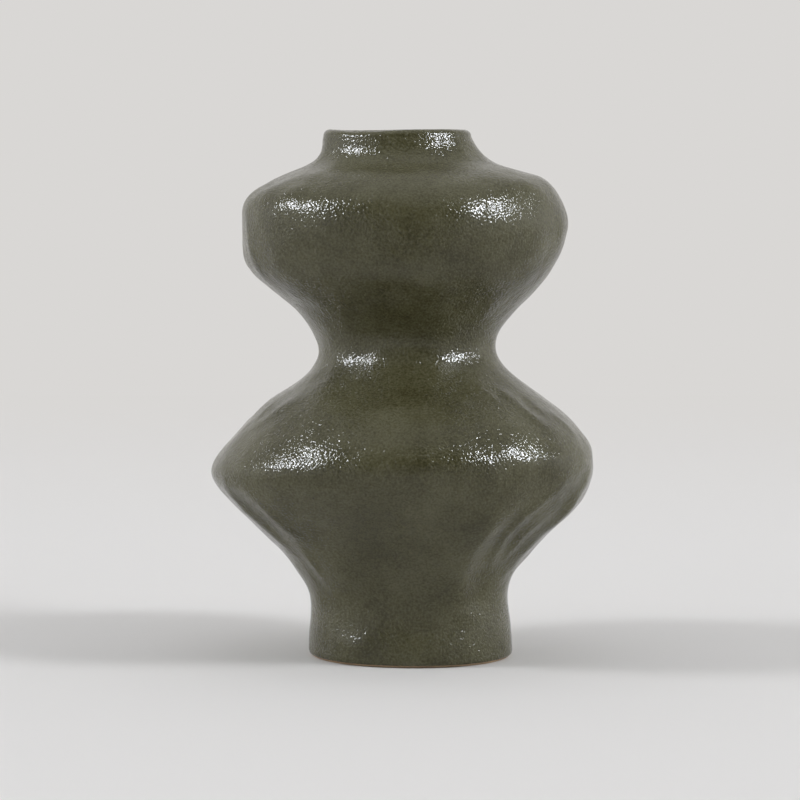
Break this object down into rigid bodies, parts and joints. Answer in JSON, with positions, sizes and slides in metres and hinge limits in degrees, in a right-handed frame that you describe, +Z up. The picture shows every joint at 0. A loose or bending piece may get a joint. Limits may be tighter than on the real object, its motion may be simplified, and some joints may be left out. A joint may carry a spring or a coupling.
{
  "type": "vase",
  "caption": "Hand-built double-bellied ceramic vase with a drum foot, a narrow waist, a short collar neck and a textured olive glaze.",
  "frame": {"origin": "on the table, under the middle of the overall width and depth", "axes": "+Z up the vase to its lip, -Y towards the viewer of the picture, +X to the viewer's right"},
  "size_m": [0.189, 0.1826, 0.26],
  "materials": {
    "bare_clay": "matt bare fired clay",
    "coil_clay": "matt bare fired clay",
    "olive_glaze": "semi-gloss, orange-peel texture",
    "lining_glaze": "semi-gloss"
  },
  "bodies": {
    "root": {"base_slab": "bare_clay", "foot_wall": "bare_clay", "lower_bowl": "bare_clay", "lower_shoulder": "bare_clay", "upper_bowl": "bare_clay", "upper_shoulder": "bare_clay", "neck_collar": "bare_clay", "base_seam_coil": "coil_clay", "foot_seam_coil": "coil_clay", "lower_belt_seam_coil": "coil_clay", "waist_seam_coil": "coil_clay", "upper_belt_seam_coil": "coil_clay", "neck_seam_coil": "coil_clay", "outer_glaze": "olive_glaze", "inner_glaze": "lining_glaze"}
  },
  "joints": []
}
